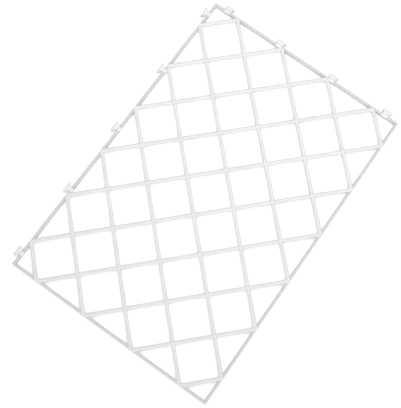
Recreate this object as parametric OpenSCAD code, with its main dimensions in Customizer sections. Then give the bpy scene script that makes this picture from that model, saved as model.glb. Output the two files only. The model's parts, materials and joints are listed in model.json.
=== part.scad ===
// Lattice panel: a rectangular frame of deep, round-fronted rails filled with crossing diagonal bars.
// Sprung hooks along one long and one short rail clip over the plain rail of the next panel.
// The origin is under the middle of the overall outline, hooks included, on the back plane.

/* [Frame] */
// Length of the frame along X, outside the rails
frame_l = 600; // [590:1:620]
// Width of the frame along Y, outside the rails
frame_w = 400; // [392:1:412]
// Width of the rails
rail_w = 5.4; // [5.2:0.1:5.8]
// Depth of the rails, front to back
rail_h = 8.5; // [8:0.1:9]
// Chamfer along the back edges of the rails
rail_chamfer = 0.6; // [0.5:0.1:0.8]
// Radius of the frame's outer corners in plan
corner_r = 2; // [1:0.5:2.5]

/* [Lattice] */
// Width of a diagonal bar
bar_w = 7; // [6.4:0.1:7.5]
// Thickness of a diagonal bar, front to back
bar_h = 4.6; // [4.2:0.1:5]
// Height of the bars' front faces above the rails
bar_proud = 1; // [0.8:0.1:1.4]
// Chamfer along the front edges of a bar
front_chamfer = 1.5; // [0.8:0.1:1.8]
// Chamfer along the back edges of a bar
back_chamfer = 0.8; // [0.4:0.1:1.2]
// Offset along X of the lattice, and of the long rail's hooks, from the middle of the frame
lattice_shift = 2.2; // [2:0.1:2.4]

/* [Hooks] */
// Spacing of the five hooks on the long rail
long_hook_pitch = 137; // [136:0.1:138]
// Spacing of the four hooks on the short rail
short_hook_pitch = 114.6; // [113:0.1:115]
// Width of a hook's head along its rail
hook_w = 18.5; // [17:0.1:20]
// Width of the neck of a hook on the long rail
long_neck_w = 7; // [6:0.1:9]
// Width of the neck of a hook on the short rail
short_neck_w = 11; // [9:0.1:11.5]
// Wall thickness of the hooks and straps
hook_wall = 2.2; // [2.1:0.1:2.3]
// Radial clearance between a hook's jaw and the rail it grips
jaw_play = 0.1; // [0.05:0.01:0.15]
// Gap between the rails of two joined panels
panel_gap = 1.2; // [1:0.1:1.4]
// How far the catch at the foot of a jaw reaches in under the rail
catch_reach = 0.5; // [0.3:0.1:0.5]

/* [Hidden] */
$fn = 48;
cells_x = 6;
cells_y = 4;
bar_count = cells_x + cells_y;
long_hooks = 5;
short_hooks = 4;
assembly_gap = 0.02;
rail_r = rail_w / 2;
crown_z = rail_h - rail_r;
pitch_x = (frame_l - rail_w) / cells_x;
pitch_y = (frame_w - rail_w) / cells_y;
rise_angle = atan2(pitch_y, pitch_x);
bar_top = rail_h + bar_proud;
bar_mid = bar_top - bar_h / 2;
foot_setback = 0.6;
foot_reach = rail_r - foot_setback;
jaw_r = rail_r + jaw_play;
jaw_t = rail_w + panel_gap;
head_t = jaw_t + jaw_r + hook_wall;
hook_out = head_t - rail_r;
strap_r = rail_r + hook_wall;
seam_t = jaw_t / 2;
neck_rise = 1.5;
neck_top = rail_r + neck_rise;
cusp_z = 1.2;
strap_end_angle = 148;
neck_run = 1.8;
shoulder_run = 0.5;
flare = 1.6;
flare_run = 1.8;
corner_cut = 1.2;
foot_search = 25;
overrun = 12;
reach = 40;
edge_zone = 0.25;
rising_names = [for (i = [1:bar_count]) str("rising_bar_", i)];
falling_names = [for (i = [1:bar_count]) str("falling_bar_", i)];
long_hook_names = [for (i = [1:long_hooks]) str("long_side_hook_", i)];
short_hook_names = [for (i = [1:short_hooks]) str("short_side_hook_", i)];
long_strap_names = [for (i = [1:long_hooks]) str("long_side_strap_", i)];
short_strap_names = [for (i = [1:short_hooks]) str("short_side_strap_", i)];
rail_names = ["long_rail_hook_side", "long_rail_plain_side", "short_rail_hook_side", "short_rail_plain_side"];

// A lattice point, in cells from the corner where the two hook-side rails meet
function lattice_point(p) =
    [(p[0] - cells_x / 2) * pitch_x + lattice_shift, (p[1] - cells_y / 2) * pitch_y];

// Offset of bar i's line from the origin corner, in cells
function bar_offset(i, rising) = rising ? i - cells_y - 0.5 : i - 0.5;

// Left end and right end of a bar, in cells. A rising bar starts low and a falling bar starts high
function bar_start(i, rising) =
    let (c = bar_offset(i, rising))
    rising ? [max(0, c), max(0, -c)] : [max(0, c - cells_y), min(cells_y, c)];
function bar_end(i, rising) =
    let (c = bar_offset(i, rising))
    rising ? [min(cells_x, cells_y + c), min(cells_y, cells_x - c)] : [min(cells_x, c), max(0, c - cells_x)];

// Where a rising and a falling bar cross, in cells, and whether that is inside the frame
function crossing(cr, cf) = [(cf + cr) / 2, (cf - cr) / 2];
function between_rails(at, cells) = at > edge_zone && at < cells - edge_zone;
function inside(p) = between_rails(p[0], cells_x) && between_rails(p[1], cells_y);
function on_long_rail(p) = !between_rails(p[1], cells_y);
function on_hook_rail(long_side, p) = p[long_side ? 1 : 0] < edge_zone;

// Distance of hook i of n from the middle of its rail
function hook_place(i, n, pitch) = (i - (n + 1) / 2) * pitch;

module placed() {
    translate([hook_out / 2, hook_out / 2, 0]) children();
}

// Section of a bar, centred, width along x and thickness along y
module bar_section(grow = 0) {
    w = bar_w / 2 + grow;
    h = bar_h / 2 + grow;
    polygon([
        [-w + back_chamfer, -h], [w - back_chamfer, -h], [w, -h + back_chamfer], [w, h - front_chamfer],
        [w - front_chamfer, h], [-w + front_chamfer, h], [-w, h - front_chamfer], [-w, -h + back_chamfer]
    ]);
}

// A straight length of bar through a point, running at an angle in plan
module bar_length(at, angle, before, after, grow = 0) {
    translate([at[0], at[1], bar_mid])
        rotate([0, 0, angle])
            translate([-before, 0, 0])
                rotate([90, 0, 90])
                    linear_extrude(before + after) bar_section(grow);
}

// Section of a rail standing on its back: half round in front, straight sides and chamfered back edges
module rail_section(grow = 0) {
    w = rail_r + grow;
    translate([0, crown_z]) circle(r = w);
    polygon([
        [-w, crown_z], [-w, rail_chamfer], [-w + rail_chamfer, -grow],
        [w - rail_chamfer, -grow], [w, rail_chamfer], [w, crown_z]
    ]);
}

// A square-ended length of rail, centred across its side of the frame
module rail_length(along_x, length, grow = 0) {
    rotate(along_x ? [90, 0, 90] : [90, 0, 0]) linear_extrude(length, center = true) rail_section(grow);
}

// The four rails without their mitres, for cutting other pieces to them
module plain_rails(grow) {
    for (side = [-1, 1]) {
        translate([0, side * (frame_w / 2 - rail_r), 0]) rail_length(true, frame_l, grow);
        translate([side * (frame_l / 2 - rail_r), 0, 0]) rail_length(false, frame_w, grow);
    }
}

// Half of a crossing: the part of a bar above or below mid-thickness, used to notch the other bar
module lap(at, angle, upper) {
    side = upper ? 1 : -1;
    intersection() {
        bar_length(at, angle, bar_w, bar_w, assembly_gap);
        translate([at[0], at[1], bar_mid + side * (bar_h - assembly_gap / 2)])
            cube([reach, reach, 2 * bar_h], center = true);
    }
}

// A bar before it is notched: mitred to its neighbour at each end and carried over the rail it meets
module bar_blank(i, rising, grow = 0) {
    start = bar_start(i, rising);
    end = bar_end(i, rising);
    low = rising ? start : end;
    high = rising ? end : start;
    a = lattice_point(start);
    b = lattice_point(end);
    foot_x = frame_l / 2 - rail_r + foot_reach;
    foot_y = frame_w / 2 - rail_r + foot_reach;
    mitre = assembly_gap / 2;
    left_x = on_long_rail(start) ? a[0] + mitre : -foot_x;
    right_x = on_long_rail(end) ? b[0] - mitre : foot_x;
    low_y = on_long_rail(low) ? -foot_y : lattice_point(low)[1] + mitre;
    high_y = on_long_rail(high) ? foot_y : lattice_point(high)[1] - mitre;
    intersection() {
        bar_length(a, rising ? rise_angle : -rise_angle, overrun, norm(b - a) + overrun, grow);
        translate([left_x - grow, low_y - grow, 0])
            cube([right_x - left_x + 2 * grow, high_y - low_y + 2 * grow, 2 * bar_top]);
    }
}

// A finished bar. Rising bars keep their front half at each crossing and falling bars their back half
module bar(i, rising) {
    c = bar_offset(i, rising);
    color("whitesmoke") placed() difference() {
        bar_blank(i, rising);
        plain_rails(assembly_gap);
        for (j = [1:bar_count]) {
            other = bar_offset(j, !rising);
            p = rising ? crossing(c, other) : crossing(other, c);
            if (inside(p)) lap(lattice_point(p), rising ? -rise_angle : rise_angle, !rising);
        }
    }
}

// Plan outline of the frame with its rounded corners
module frame_outline() {
    square([frame_l - 2 * corner_r, frame_w], center = true);
    square([frame_l, frame_w - 2 * corner_r], center = true);
    for (x = [-1, 1], y = [-1, 1])
        translate([x * (frame_l / 2 - corner_r), y * (frame_w / 2 - corner_r)]) circle(r = corner_r);
}

// A rail along one side of the frame, mitred at the corners
module rail(along_x, side) {
    length = along_x ? frame_l : frame_w;
    across = along_x ? frame_w : frame_l;
    half = length / 2 - assembly_gap / 2;
    edge = across / 2;
    color("white") placed() intersection() {
        translate(along_x ? [0, side * (edge - rail_r), 0] : [side * (edge - rail_r), 0, 0])
            rail_length(along_x, length);
        linear_extrude(rail_h) frame_outline();
        rotate([0, 0, along_x ? 0 : -90])
            linear_extrude(rail_h)
                polygon([
                    [-half, side * edge], [half, side * edge],
                    [half - rail_w, side * (edge - rail_w)], [-half + rail_w, side * (edge - rail_w)]
                ]);
    }
}

// Profile of the sprung part of a hook: x points away from its rail's middle, y to the front.
// The jaw is round inside its crown and runs straight down outside the rail to a catch at its foot
module hook_profile() {
    leg = jaw_t + jaw_r;
    root = hook_wall / 2;
    difference() {
        union() {
            translate([jaw_t, 0]) circle(r = jaw_r + hook_wall);
            translate([seam_t, 0]) square([jaw_t - seam_t, neck_top]);
            translate([leg, -crown_z]) square([hook_wall, crown_z]);
        }
        translate([jaw_t, 0]) circle(r = jaw_r);
        circle(r = rail_r + assembly_gap);
        translate([seam_t + assembly_gap / 2 - reach, -reach]) square([reach, 2 * reach]);
        polygon([[leg, 0], [jaw_t, 0], [jaw_t, cusp_z], [0, cusp_z], [0, -reach], [leg, -reach]]);
    }
    polygon([
        [leg - catch_reach, -crown_z], [leg + root, -crown_z], [leg + root, -crown_z + catch_reach + root]
    ]);
}

// Profile of the strap that carries a hook over the front of its own rail
module strap_profile() {
    difference() {
        union() {
            circle(r = strap_r);
            square([seam_t, neck_top]);
        }
        circle(r = rail_r + assembly_gap);
        translate([seam_t - assembly_gap / 2, -reach]) square([reach, 2 * reach]);
        polygon([
            [0, 0], [reach * cos(strap_end_angle), reach * sin(strap_end_angle)],
            [-reach, -reach], [reach, -reach], [reach, cusp_z], [0, cusp_z]
        ]);
    }
}

// Plan outline of a hook: a narrow neck, square shoulders, then a head that flares to its full width
module hook_plan(neck_w) {
    wing = hook_w / 2;
    shoulder = seam_t + neck_run;
    half = [
        [0, neck_w / 2], [shoulder, neck_w / 2], [shoulder + shoulder_run, wing - flare],
        [head_t - flare_run, wing], [head_t - corner_cut, wing], [head_t, wing - corner_cut]
    ];
    polygon(concat(half, [for (k = [len(half) - 1:-1:0]) [half[k][0], -half[k][1]]]));
}

// Stands a profile up across a rail: x stays outward and y becomes height
module stand(width) {
    rotate([90, 0, 0]) linear_extrude(width, center = true) children();
}

// Carries a piece modelled with +X outward to its place on the long or the short hook-side rail
module on_rail(long_side, place) {
    where = long_side ? [place, rail_r - frame_w / 2, crown_z] : [rail_r - frame_l / 2, place, crown_z];
    placed() translate(where) rotate([0, 0, long_side ? -90 : 180]) children();
}

module hook(long_side, place, neck_w) {
    color("white") on_rail(long_side, place) intersection() {
        stand(hook_w) hook_profile();
        translate([0, 0, -reach / 2]) linear_extrude(reach) hook_plan(neck_w);
    }
}

module strap(long_side, place, neck_w) {
    color("white") difference() {
        on_rail(long_side, place) stand(neck_w) strap_profile();
        placed() bar_feet(long_side, place);
    }
}

// The ends of the bars that run into a hook-side rail beside a strap
module bar_feet(long_side, place) {
    axis = long_side ? 0 : 1;
    for (i = [1:bar_count], rising = [true, false]) {
        p = long_side && !rising ? bar_end(i, rising) : bar_start(i, rising);
        if (on_hook_rail(long_side, p) && abs(lattice_point(p)[axis] - place) < foot_search)
            bar_blank(i, rising, assembly_gap);
    }
}

rail(true, -1);  // long_rail_hook_side
rail(true, 1);  // long_rail_plain_side
rail(false, -1);  // short_rail_hook_side
rail(false, 1);  // short_rail_plain_side
for (i = [1:bar_count]) {
    bar(i, true);
    bar(i, false);
}
for (i = [1:long_hooks]) {
    place = hook_place(i, long_hooks, long_hook_pitch) + lattice_shift;
    strap(true, place, long_neck_w);
    hook(true, place, long_neck_w);
}
for (i = [1:short_hooks]) {
    place = hook_place(i, short_hooks, short_hook_pitch);
    strap(false, place, short_neck_w);
    hook(false, place, short_neck_w);
}
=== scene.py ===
"""Looks for the clip-together lattice panel: moulded off-white plastic on a pale floor."""

import json
import math

import bmesh
import bpy
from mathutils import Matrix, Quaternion, Vector


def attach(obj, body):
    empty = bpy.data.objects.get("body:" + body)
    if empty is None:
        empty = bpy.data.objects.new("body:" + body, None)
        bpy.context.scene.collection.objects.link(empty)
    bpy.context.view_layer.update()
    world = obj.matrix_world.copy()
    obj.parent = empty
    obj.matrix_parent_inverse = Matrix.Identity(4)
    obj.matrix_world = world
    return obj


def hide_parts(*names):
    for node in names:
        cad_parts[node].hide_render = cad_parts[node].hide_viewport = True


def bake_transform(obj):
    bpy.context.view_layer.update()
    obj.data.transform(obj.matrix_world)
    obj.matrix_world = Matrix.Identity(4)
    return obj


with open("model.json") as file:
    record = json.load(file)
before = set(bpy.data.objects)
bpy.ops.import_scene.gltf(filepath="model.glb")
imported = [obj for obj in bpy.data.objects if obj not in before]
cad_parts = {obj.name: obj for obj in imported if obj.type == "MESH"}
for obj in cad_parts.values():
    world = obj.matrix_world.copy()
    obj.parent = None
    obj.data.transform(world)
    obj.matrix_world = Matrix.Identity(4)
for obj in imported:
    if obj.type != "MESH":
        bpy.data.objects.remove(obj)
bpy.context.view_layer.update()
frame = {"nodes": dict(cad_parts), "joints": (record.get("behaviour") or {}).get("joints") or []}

MM = 0.001

LONG_HOOKS = 5
SHORT_HOOKS = 4

# Rounding of the moulded edges, and which edges count as sharp
BAR_FRONT_EDGE = 0.85 * MM
BAR_BACK_EDGE = 0.4 * MM
BAR_EDGE_ANGLE = math.radians(20)
RAIL_EDGE = 0.15 * MM
RAIL_EDGE_ANGLE = math.radians(35)
HOOK_EDGE = 0.3 * MM
HOOK_EDGE_ANGLE = math.radians(35)
EDGE_STEPS = 3
SMOOTH_ANGLE = math.radians(32)
WELD = 0.004 * MM
FLAT_ANGLE = math.radians(1.0)

# How near to a hook's root, measured outward, its strap and neck are welded into one
SEAM = 0.05 * MM

# Off-white of the plastic and how rough its satin surface is; the rails' tint is darker than the bars' as
# painted shade
RAIL_TINT_PAINTED_SHADE = (0.70, 0.70, 0.69)
BAR_TINT = (0.83, 0.83, 0.817)
# The hooks' tint is lighter than the bars' as painted light
HOOK_TINT_PAINTED_LIGHT = (0.88, 0.88, 0.87)
RAIL_ROUGHNESS = 0.46
BAR_ROUGHNESS = 0.42
HOOK_ROUGHNESS = 0.40

# Make-up of the plastic: noise sizes are cycles per metre
PLASTIC_IOR = 1.49
GLOW_WEIGHT = 0.12
GLOW_DEPTH = 1.2 * MM
GLOW_RADIUS = (1.0, 0.95, 0.9)
CLOUD_SCALE = 28.0
STREAK_SCALE = 240.0
GRAIN_SCALE = 1400.0
CLOUD_RANGE = (0.32, 0.62)
CLOUD_DARKEN = 0.955
CLOUD_WARMTH = 0.985
WEAR_RADIUS = 0.7 * MM
WEAR_RANGE = (1.0, 0.9)
WEAR_MOST = 0.45
WEAR_LIGHTEN = 1.05
GLOSS_SPREAD = (-0.07, 0.09)
GRAIN_STRENGTH = 0.25
GRAIN_HEIGHT = 0.04 * MM

# Camera, as the panel was photographed: nearly square on, from above one corner
CAMERA_AIM = Vector((33.6, 2.88, 8.0)) * MM
CAMERA_DISTANCE = 1410.5 * MM
CAMERA_AZIMUTH = math.radians(117.69)
CAMERA_ELEVATION = math.radians(75.84)
CAMERA_ROLL = math.radians(7.85)
CAMERA_LENS = 72.0
CAMERA_SENSOR = 36.0

CAMERA_NEAR = 0.05
CAMERA_FAR = 30

# Studio: lengths in metres, light power in watts
REFLECTOR_SIDE = (0.87, 0.5, 0.0)
STUDIO_DIM = 0.2
STUDIO_BRIGHT = 1.2
LAMP_PLACE = (-0.55, -0.05, 1.7)
LAMP_TARGET = (-0.1, 0.0, 0.0)
LAMP_SIZE = 1.0
LAMP_POWER = 11
FLOOR_HALF = 40.0
FLOOR_DROP = 0.02 * MM
FLOOR_TINT = 0.85
FLOOR_ROUGHNESS = 0.9
FLOOR_GLOW = 0.35
FLOOR_BOUNCE = 0.06

# Sockets of the colour mixing node
MIX_FACTOR = 0
MIX_A = 6
MIX_B = 7
MIX_RESULT = 2


# ---------------------------------------------------------------- materials

def node(tree, kind, **values):
    """Adds a shader node and sets its inputs and properties by name."""
    made = tree.nodes.new(kind)
    for name, value in values.items():
        socket = made.inputs.get(name.replace("_", " "))
        if socket is not None:
            socket.default_value = value
        else:
            setattr(made, name, value)
    return made


def set_range(tree, source, start, stretch):
    """Maps a shader value from one pair of numbers onto another and returns the result."""
    spread = node(tree, "ShaderNodeMapRange")
    spread.inputs["From Min"].default_value, spread.inputs["From Max"].default_value = start
    spread.inputs["To Min"].default_value, spread.inputs["To Max"].default_value = stretch
    tree.links.new(source, spread.inputs["Value"])
    return spread.outputs["Result"]


def mottled_colour(tree, tint, cloud):
    """Soft cloudy mottling between a slightly darker tint and the tint itself."""
    low = [c * CLOUD_DARKEN for c in tint]
    mottle = node(tree, "ShaderNodeMix", data_type="RGBA")
    mottle.inputs[MIX_A].default_value = (low[0], low[1], low[2] * CLOUD_WARMTH, 1.0)
    mottle.inputs[MIX_B].default_value = (*tint, 1.0)
    tree.links.new(set_range(tree, cloud, CLOUD_RANGE, (0.0, 1.0)), mottle.inputs[MIX_FACTOR])
    return mottle.outputs[MIX_RESULT]


def worn_colour(tree, tint, colour, streak):
    """Paler plastic along the edges, broken up by streaks."""
    soft = node(tree, "ShaderNodeBevel", samples=4, Radius=WEAR_RADIUS)
    facing = node(tree, "ShaderNodeNewGeometry")
    agree = node(tree, "ShaderNodeVectorMath", operation="DOT_PRODUCT")
    tree.links.new(soft.outputs["Normal"], agree.inputs[0])
    tree.links.new(facing.outputs["Normal"], agree.inputs[1])
    patchy = node(tree, "ShaderNodeMath", operation="MULTIPLY")
    tree.links.new(set_range(tree, agree.outputs["Value"], WEAR_RANGE, (0.0, WEAR_MOST)), patchy.inputs[0])
    tree.links.new(streak, patchy.inputs[1])
    edge = node(tree, "ShaderNodeMix", data_type="RGBA")
    edge.inputs[MIX_B].default_value = tuple(min(1.0, c * WEAR_LIGHTEN) for c in tint) + (1.0,)
    tree.links.new(colour, edge.inputs[MIX_A])
    tree.links.new(patchy.outputs["Value"], edge.inputs[MIX_FACTOR])
    return edge.outputs[MIX_RESULT]


def moulded_plastic(name, tint, roughness, seed):
    """Satin moulded plastic: soft mottling, paler worn edges, fine grain and a little inner glow."""
    material = bpy.data.materials.new(name)
    material.use_nodes = True
    tree = material.node_tree
    tree.nodes.clear()
    link = tree.links.new
    output = node(tree, "ShaderNodeOutputMaterial")
    shader = node(tree, "ShaderNodeBsdfPrincipled", IOR=PLASTIC_IOR)
    shader.inputs["Subsurface Weight"].default_value = GLOW_WEIGHT
    shader.inputs["Subsurface Radius"].default_value = GLOW_RADIUS
    shader.inputs["Subsurface Scale"].default_value = GLOW_DEPTH
    place = node(tree, "ShaderNodeTexCoord")
    shift = node(tree, "ShaderNodeMapping", Location=(seed, seed * 0.37, 0.0))
    link(place.outputs["Object"], shift.inputs["Vector"])

    cloud = node(tree, "ShaderNodeTexNoise", Scale=CLOUD_SCALE, Detail=4.0, Roughness=0.55)
    grain = node(tree, "ShaderNodeTexNoise", Scale=GRAIN_SCALE, Detail=3.0, Roughness=0.6)
    streak = node(tree, "ShaderNodeTexNoise", Scale=STREAK_SCALE, Detail=2.0, Roughness=0.5)
    for texture in (cloud, grain, streak):
        link(shift.outputs["Vector"], texture.inputs["Vector"])

    mottled = mottled_colour(tree, tint, cloud.outputs["Fac"])
    link(worn_colour(tree, tint, mottled, streak.outputs["Fac"]), shader.inputs["Base Color"])
    gloss = [roughness + change for change in GLOSS_SPREAD]
    link(set_range(tree, streak.outputs["Fac"], (0.0, 1.0), gloss), shader.inputs["Roughness"])

    bump = node(tree, "ShaderNodeBump", Strength=GRAIN_STRENGTH, Distance=GRAIN_HEIGHT)
    link(grain.outputs["Fac"], bump.inputs["Height"])
    link(bump.outputs["Normal"], shader.inputs["Normal"])
    link(shader.outputs["BSDF"], output.inputs["Surface"])
    return material


# ---------------------------------------------------------------- meshes

def read_nodes(*names):
    """One bmesh holding CAD nodes in the shared frame, corners welded."""
    mesh = bmesh.new()
    for name in names:
        cad = frame["nodes"][name]
        part = cad.data.copy()
        part.transform(cad.matrix_world)
        mesh.from_mesh(part)
        bpy.data.meshes.remove(part)
    bmesh.ops.remove_doubles(mesh, verts=mesh.verts, dist=WELD)
    return mesh


def flatten_faces(mesh):
    """Joins the triangles of each flat face back into one face."""
    bmesh.ops.dissolve_limit(mesh, angle_limit=FLAT_ANGLE, verts=mesh.verts, edges=mesh.edges)
    mesh.normal_update()


def sharp_edges(mesh, least):
    """Outer edges that turn by more than an angle."""
    return [
        e for e in mesh.edges
        if len(e.link_faces) == 2 and e.is_convex and e.calc_face_angle() > least
    ]


def round_edges(mesh, edges, radius, clamp):
    """Rounds edges; clamping stops the rounding where it would run into a neighbour."""
    bmesh.ops.bevel(
        mesh, geom=edges, offset=radius, segments=EDGE_STEPS, profile=0.5, affect="EDGES", clamp_overlap=clamp
    )


def finish_piece(mesh, name, material, slot, *nodes):
    """Turns a bmesh into a shown piece that stands for its CAD nodes."""
    bmesh.ops.triangulate(mesh, faces=[f for f in mesh.faces if len(f.verts) > 4])
    data = bpy.data.meshes.new(name)
    mesh.to_mesh(data)
    mesh.free()
    data.materials.append(material)
    data.shade_smooth()
    data.set_sharp_from_angle(angle=SMOOTH_ANGLE)
    piece = bpy.data.objects.new(name, data)
    bpy.context.scene.collection.objects.link(piece)
    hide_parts(*nodes)
    return piece


def shade_evenly(piece):
    """Keeps flat faces flat in shading, so that only the rounded edges turn."""
    even = piece.modifiers.new("even_shading", "WEIGHTED_NORMAL")
    even.keep_sharp = True


def moulded_bar(name, material):
    """A bar with its long edges rounded as a moulding's are."""
    mesh = read_nodes(name)
    flatten_faces(mesh)
    longest = max(mesh.edges, key=lambda e: e.calc_length())
    along = (longest.verts[1].co - longest.verts[0].co).normalized()
    lengthwise = [
        e for e in sharp_edges(mesh, BAR_EDGE_ANGLE)
        if abs((e.verts[1].co - e.verts[0].co).normalized().dot(along)) > 0.999
    ]
    middle = (min(v.co.z for v in mesh.verts) + max(v.co.z for v in mesh.verts)) / 2
    front = [e for e in lengthwise if e.verts[0].co.z > middle]
    round_edges(mesh, front, BAR_FRONT_EDGE, False)
    back = [e for e in lengthwise if e.is_valid and e.verts[0].co.z < middle]
    round_edges(mesh, back, BAR_BACK_EDGE, False)
    piece = finish_piece(mesh, name + "_moulded", material, "bar_plastic", name)
    shade_evenly(piece)
    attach(piece, "panel")


def moulded_rail(name, material):
    """A rail with its sharp edges eased and its round front left smooth."""
    mesh = read_nodes(name)
    flatten_faces(mesh)
    round_edges(mesh, sharp_edges(mesh, RAIL_EDGE_ANGLE), RAIL_EDGE, True)
    piece = finish_piece(mesh, name + "_moulded", material, "rail_plastic", name)
    shade_evenly(piece)
    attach(piece, "panel")


def sprung_hook(side, number, outward, material):
    """A hook and its strap as one moulding, welded where the neck meets the strap."""
    strap = f"{side}_side_strap_{number}"
    head = f"{side}_side_hook_{number}"
    body = f"{side}_hook_{number}"
    root = next(Vector(joint["pos_m"]) for joint in frame["joints"] if joint["child"] == body)
    mesh = read_nodes(strap, head)
    at_seam = [v for v in mesh.verts if abs((v.co - root).dot(outward)) < SEAM]
    bmesh.ops.remove_doubles(mesh, verts=at_seam, dist=2 * SEAM)
    inner = [f for f in mesh.faces if all(abs((v.co - root).dot(outward)) < SEAM for v in f.verts)]
    bmesh.ops.delete(mesh, geom=inner, context="FACES_ONLY")
    flatten_faces(mesh)
    round_edges(mesh, sharp_edges(mesh, HOOK_EDGE_ANGLE), HOOK_EDGE, True)
    piece = finish_piece(mesh, body + "_moulded", material, "hook_plastic", strap, head)
    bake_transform(piece)


# ---------------------------------------------------------------- build

# The rail material's darker tint is painted shade
rail_material_painted_shade = moulded_plastic("rail_plastic", RAIL_TINT_PAINTED_SHADE, RAIL_ROUGHNESS, 3.1)
bar_material = moulded_plastic("bar_plastic", BAR_TINT, BAR_ROUGHNESS, 7.7)
# The hook material's lighter tint is painted light
hook_material_painted_light = moulded_plastic("hook_plastic", HOOK_TINT_PAINTED_LIGHT, HOOK_ROUGHNESS, 11.9)

for name in frame["nodes"]:
    if "_bar_" in name:
        moulded_bar(name, bar_material)
    elif "_rail_" in name:
        moulded_rail(name, rail_material_painted_shade)
for number in range(1, LONG_HOOKS + 1):
    sprung_hook("long", number, Vector((0, -1, 0)), hook_material_painted_light)
for number in range(1, SHORT_HOOKS + 1):
    sprung_hook("short", number, Vector((-1, 0, 0)), hook_material_painted_light)

# ---------------------------------------------------------------- stage

def make_floor():
    """A plain pale floor that looks brighter to the camera than the light it gives back."""
    data = bpy.data.meshes.new("floor")
    corners = [(x * FLOOR_HALF, y * FLOOR_HALF, 0) for x, y in ((-1, -1), (1, -1), (1, 1), (-1, 1))]
    data.from_pydata(corners, [], [(0, 1, 2, 3)])
    floor = bpy.data.objects.new("floor", data)
    bpy.context.scene.collection.objects.link(floor)
    floor.location.z = -FLOOR_DROP
    material = bpy.data.materials.new("floor")
    material.use_nodes = True
    tree = material.node_tree
    shader = tree.nodes["Principled BSDF"]
    shader.inputs["Base Color"].default_value = (FLOOR_TINT, FLOOR_TINT, FLOOR_TINT, 1)
    shader.inputs["Roughness"].default_value = FLOOR_ROUGHNESS
    shader.inputs["Emission Color"].default_value = (1, 1, 1, 1)
    ray = node(tree, "ShaderNodeLightPath")
    glow = set_range(tree, ray.outputs["Is Camera Ray"], (0.0, 1.0), (FLOOR_BOUNCE, FLOOR_GLOW))
    tree.links.new(glow, shader.inputs["Emission Strength"])
    data.materials.append(material)


def soft_light(name, place, target, size, power):
    """A round softbox at a place in metres, turned to face a target."""
    data = bpy.data.lights.new(name, "AREA")
    data.shape = "DISK"
    data.size = size
    data.energy = power
    lamp = bpy.data.objects.new(name, data)
    bpy.context.scene.collection.objects.link(lamp)
    lamp.location = Vector(place)
    lamp.rotation_mode = "QUATERNION"
    lamp.rotation_quaternion = (Vector(target) - Vector(place)).to_track_quat("-Z", "Y")


def make_world(dim, bright):
    """A pale studio that is brighter toward the near corner, like a room with a reflector there."""
    world = bpy.data.worlds.new("studio")
    bpy.context.scene.world = world
    world.use_nodes = True
    tree = world.node_tree
    back = tree.nodes["Background"]
    back.inputs["Color"].default_value = (1, 1, 1, 1)
    place = node(tree, "ShaderNodeTexCoord")
    side = node(tree, "ShaderNodeVectorMath", operation="DOT_PRODUCT")
    side.inputs[1].default_value = REFLECTOR_SIDE
    tree.links.new(place.outputs["Generated"], side.inputs[0])
    strength = set_range(tree, side.outputs["Value"], (-1.0, 1.0), (dim, bright))
    tree.links.new(strength, back.inputs["Strength"])


def make_camera():
    """Looks at the aim point from the stated azimuth and elevation, rolled about the line of sight."""
    data = bpy.data.cameras.new("camera")
    data.lens = CAMERA_LENS
    data.sensor_width = CAMERA_SENSOR
    camera = bpy.data.objects.new("camera", data)
    bpy.context.scene.collection.objects.link(camera)
    a, e = CAMERA_AZIMUTH, CAMERA_ELEVATION
    out = Vector((math.sin(a) * math.cos(e), -math.cos(a) * math.cos(e), math.sin(e)))
    camera.location = CAMERA_AIM + out * CAMERA_DISTANCE
    camera.rotation_mode = "QUATERNION"
    level = (-out).to_track_quat("-Z", "Y")
    camera.rotation_quaternion = level @ Quaternion((0, 0, 1), CAMERA_ROLL)
    data.clip_start = CAMERA_NEAR
    data.clip_end = CAMERA_FAR
    bpy.context.scene.camera = camera


make_floor()
make_world(STUDIO_DIM, STUDIO_BRIGHT)
soft_light("overhead", LAMP_PLACE, LAMP_TARGET, LAMP_SIZE, LAMP_POWER)
make_camera()
bpy.context.scene.view_settings.view_transform = "Standard"
